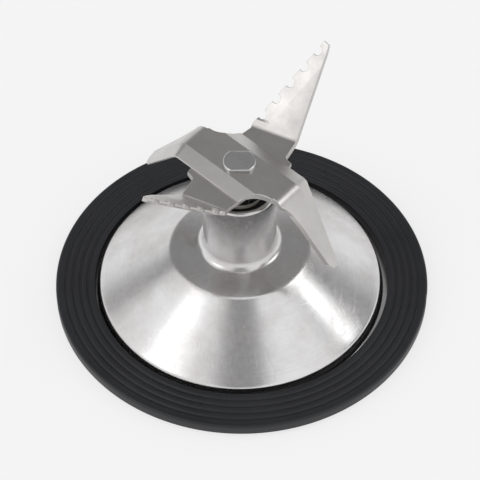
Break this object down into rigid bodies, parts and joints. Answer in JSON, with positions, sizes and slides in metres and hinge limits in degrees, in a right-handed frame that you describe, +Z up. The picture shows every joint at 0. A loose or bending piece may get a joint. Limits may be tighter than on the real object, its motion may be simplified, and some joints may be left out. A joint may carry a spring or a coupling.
{
  "type": "blender blade assembly with sealing ring",
  "caption": "Blender cutter unit: pressed steel cone base with a tall neck, crossed plain and serrated bent blades on a spindle, loose grooved rubber sealing ring on the flange.",
  "frame": {"origin": "on the spindle axis, in the plane of the flange's underside", "axes": "+Z up along the spindle to the blades; -Y is the front seen in the picture; +X to the picture's right"},
  "size_m": [0.08, 0.08, 0.052],
  "materials": {
    "black_rubber": "matt moulded rubber",
    "pressed_steel": "polished pressing with fine scratches",
    "blade_steel": "satin ground",
    "turned_steel": "turned",
    "spring_steel": "dark spring steel",
    "bronze": "sintered, oil-filled",
    "felt": "pressed wool felt",
    "seal_rubber": "matt rubber",
    "pale_plastic": "filled plastic"
  },
  "bodies": {
    "base": {"base_plate": "pressed_steel", "sealing_ring": "black_rubber", "lower_bush": "bronze", "oil_felt": "felt", "upper_bush": "bronze", "shaft_seal": "seal_rubber", "top_washer": "pale_plastic"},
    "cutter": {"spindle": "turned_steel", "lower_blade": "blade_steel", "upper_blade": "blade_steel", "bottom_washer": "turned_steel", "retaining_ring": "spring_steel"}
  },
  "joints": [
    {"name": "blade_spin", "type": "hinge", "parent": "base", "child": "cutter", "pos_m": [0, 0, 0.022], "axis": [0, 0, 1], "continuous": true}
  ]
}
